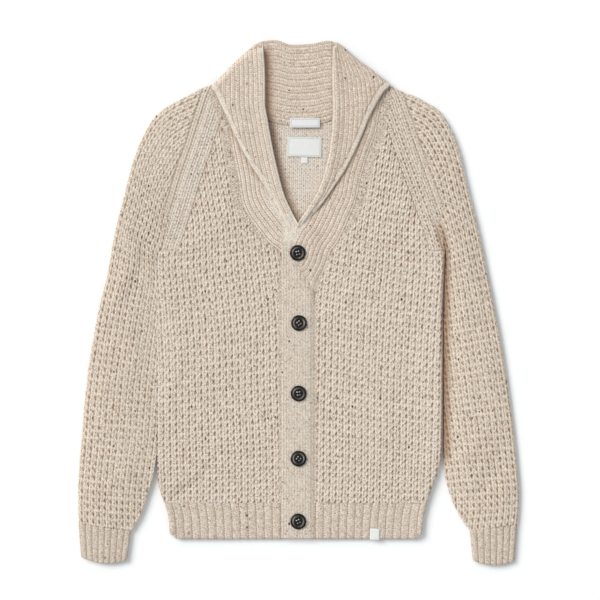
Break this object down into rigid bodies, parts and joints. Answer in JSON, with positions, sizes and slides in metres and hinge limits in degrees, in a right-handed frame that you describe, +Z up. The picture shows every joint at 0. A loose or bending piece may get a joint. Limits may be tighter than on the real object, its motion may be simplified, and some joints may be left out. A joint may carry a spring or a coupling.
{
  "type": "shawl collar cardigan",
  "caption": "Long-sleeved shawl collar cardigan in chunky flecked waffle knit with ribbed collar, cuffs and hem, laid flat with its horn buttons closed.",
  "frame": {"origin": "middle of the whole laid-out outline, on the surface that the back lies on", "axes": "+Y from the hem to the collar, +X to the wearer's left, +Z up from the surface to the front"},
  "size_m": [0.6613, 0.7875, 0.018],
  "materials": {
    "waffle_knit": "oatmeal marl yarn with dark, rust and brown flecks in a deep waffle stitch, matt and slightly hairy",
    "rib_knit": "the same oatmeal marl yarn in a firm rib, matt",
    "jersey_knit": "the same yarn in a fine, close double jersey, matt",
    "dark_horn": "near-black horn with faint brown streaks, polished",
    "woven_label": "bare off-white woven tape, matt"
  },
  "bodies": {
    "root": {"back_panel": "waffle_knit", "front_right": "waffle_knit", "front_left": "waffle_knit", "sleeve_right": "waffle_knit", "sleeve_left": "waffle_knit", "cuff_right": "rib_knit", "cuff_left": "rib_knit", "hem_back": "rib_knit", "hem_front_right": "rib_knit", "hem_front_left": "rib_knit", "collar_back": "rib_knit", "collar_band_right": "rib_knit", "collar_band_left": "rib_knit", "collar_fall_right": "rib_knit", "collar_fall_left": "rib_knit", "placket_under": "jersey_knit", "placket_top": "jersey_knit", "button_1": "dark_horn", "button_2": "dark_horn", "button_3": "dark_horn", "button_4": "dark_horn", "button_5": "dark_horn", "neck_tape": "woven_label", "neck_label": "woven_label", "size_tab": "woven_label", "side_tab": "woven_label"}
  },
  "joints": []
}
